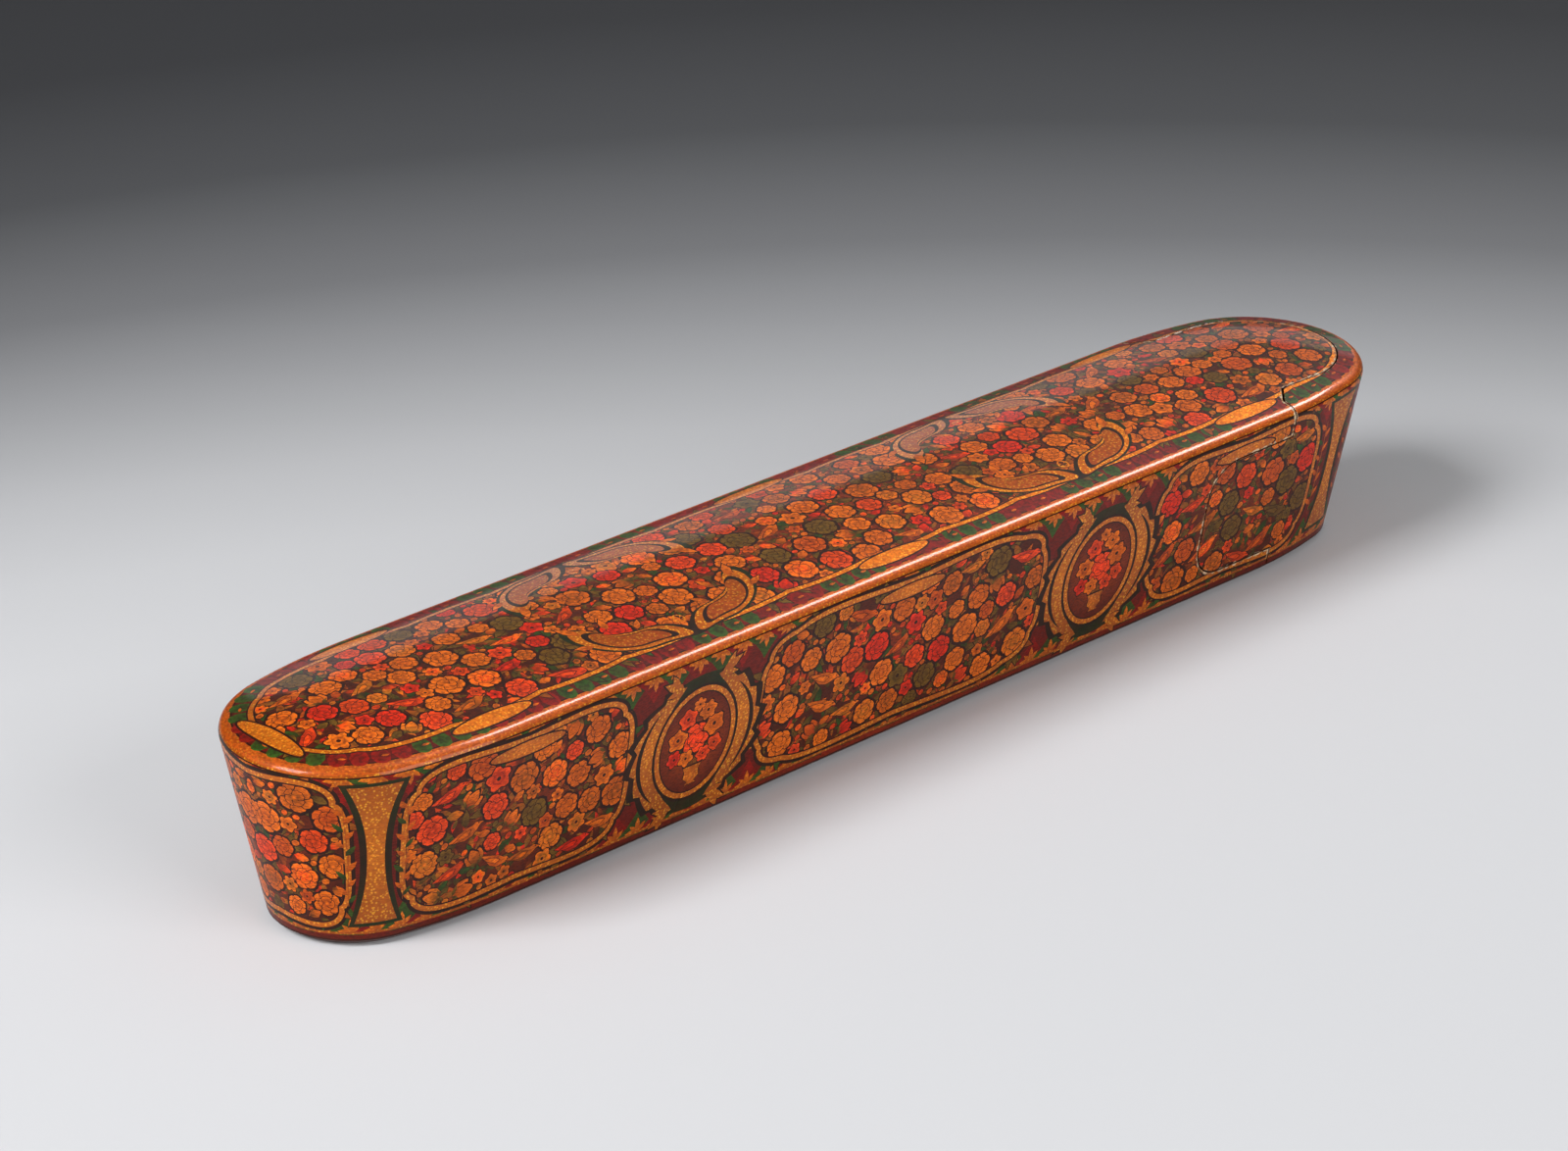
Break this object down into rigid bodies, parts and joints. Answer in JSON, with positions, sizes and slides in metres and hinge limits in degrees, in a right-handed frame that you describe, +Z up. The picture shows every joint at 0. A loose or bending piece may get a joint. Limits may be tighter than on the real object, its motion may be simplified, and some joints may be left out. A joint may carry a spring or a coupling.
{
  "type": "sliding pen box",
  "caption": "Long round-ended lacquered paper pen box: a sleeve and a drawer whose head interlocks with it, holding an inkwell, reeds and writing tools.",
  "frame": {"origin": "middle of the foot, on the surface that the box rests on", "axes": "+X along the box towards the drawer head, the way the drawer comes out; +Z up; -Y is the side with the row of panels seen in the picture"},
  "size_m": [0.24, 0.042, 0.0344],
  "materials": {
    "outer_lacquer": "painted papier-mache under a thick gloss varnish",
    "tray_paper": "papier-mache with thin satin varnish",
    "brass": "worn polish",
    "silk": "raw silk soaked in black ink",
    "reed": "polished reed skin",
    "bone": "polished bone",
    "steel": "ground blade steel"
  },
  "bodies": {
    "sleeve": {"sleeve_shell": "outer_lacquer"},
    "drawer": {"drawer_head": "outer_lacquer", "tray_shell": "tray_paper", "tray_divider": "tray_paper", "inkwell_body": "brass", "inkwell_collar": "brass", "inkwell_hinge_pin": "brass", "ink_wad": "silk", "reed_pen_1": "reed", "reed_pen_2": "reed", "reed_pen_3": "reed", "reed_pen_4": "reed", "penknife_handle": "bone", "penknife_ferrule": "brass", "penknife_blade": "steel", "nib_block": "bone", "water_spoon": "brass"},
    "lid": {"inkwell_lid": "brass", "inkwell_knob": "brass"}
  },
  "joints": [
    {"name": "drawer_slide", "type": "slide", "parent": "sleeve", "child": "drawer", "axis": [1, 0, 0], "range_m": [0, 0.236]},
    {"name": "inkwell_lid_hinge", "type": "hinge", "parent": "drawer", "child": "lid", "pos_m": [0.0926, 0, 0.0174], "axis": [0, 1, 0], "range_deg": [0, 100]}
  ]
}
